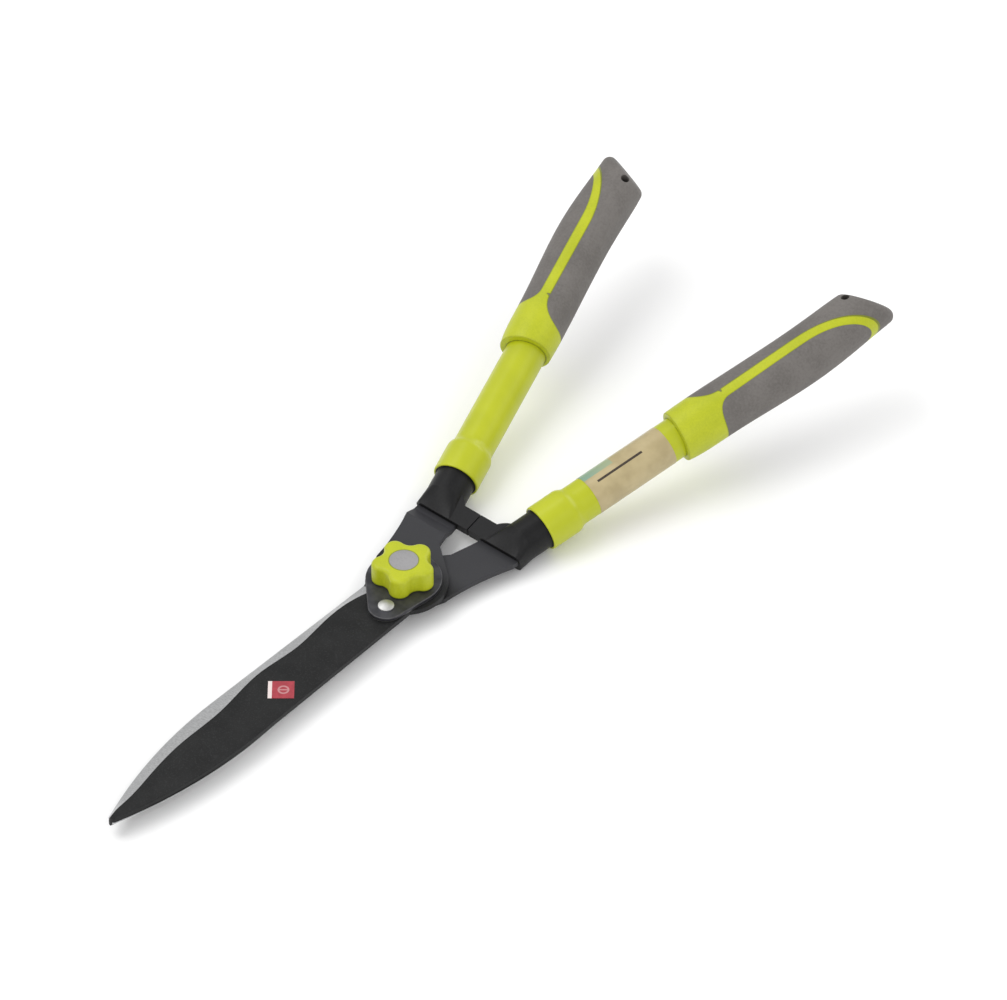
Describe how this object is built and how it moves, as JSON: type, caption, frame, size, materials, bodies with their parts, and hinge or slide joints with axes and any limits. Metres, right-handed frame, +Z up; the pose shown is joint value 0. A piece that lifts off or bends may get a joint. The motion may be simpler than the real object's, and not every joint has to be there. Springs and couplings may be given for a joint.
{
  "type": "hedge shears",
  "caption": "Two-handed hedge shears with long flat blades, tubular handles, two-colour moulded grips and a star knob that sets the tension at the pivot.",
  "frame": {"origin": "on the resting plane, under the centre of the closed shears' bounding box", "axes": "+Y along the shears from the blade tips to the handles, +Z up along the pivot axis to the knob, +X to the right-hand handle seen from the knob with the tips pointing away"},
  "size_m": [0.2232, 0.5874, 0.0835],
  "materials": {
    "blade_coating": "dark non-stick coating, fine satin texture; the ground bevel along each cutting edge is bare steel",
    "zinc_steel": "plain zinc-plated steel",
    "rivet_steel": "bright domed rivet head",
    "black_plate": "black coated plate, low gloss",
    "bush_bronze": "sintered bronze",
    "black_nylon": "moulded black nylon, fine grain",
    "pad_rubber": "black rubber",
    "lime_coat": "lime green powder coat, semi-gloss",
    "lime_plastic": "lime green moulded plastic",
    "grey_rubber": "warm grey soft-touch rubber",
    "grey_plastic": "light grey moulded plastic",
    "paper_label": "cream film label with a plain printed patch",
    "red_label": "small red film label with a pale strip"
  },
  "bodies": {
    "right_half": {"lower_blade": "blade_coating", "pivot_bolt": "zinc_steel", "right_tube": "lime_coat", "right_collar": "black_nylon", "right_bumper_pad": "pad_rubber", "right_grip_core": "lime_plastic", "right_grip_sleeve": "grey_rubber", "tube_label": "paper_label"},
    "left_half": {"upper_blade": "blade_coating", "pivot_bush": "bush_bronze", "cover_plate": "black_plate", "cover_rivet": "rivet_steel", "disc_spring": "zinc_steel", "left_tube": "lime_coat", "left_collar": "black_nylon", "left_bumper_pad": "pad_rubber", "left_grip_core": "lime_plastic", "left_grip_sleeve": "grey_rubber", "blade_label": "red_label"},
    "thrust": {"thrust_washer": "zinc_steel"},
    "knob": {"knob_body": "lime_plastic", "knob_nut": "zinc_steel", "knob_cap": "grey_plastic"}
  },
  "joints": [
    {"name": "shears_pivot", "type": "hinge", "parent": "right_half", "child": "left_half", "pos_m": [0, -0.03687, 0.01158], "axis": [0, 0, 1], "range_deg": [0, 65]},
    {"name": "knob_lift", "type": "slide", "parent": "right_half", "child": "thrust", "axis": [0, 0, 1], "range_m": [0, 0.0025]},
    {"name": "knob_turn", "type": "hinge", "parent": "thrust", "child": "knob", "pos_m": [0, -0.03687, 0.01158], "axis": [0, 0, 1], "range_deg": [0, 720]}
  ],
  "couplings": [
    {"joint": "knob_turn", "follows": "knob_lift", "rad_per_m": 5026.5}
  ]
}
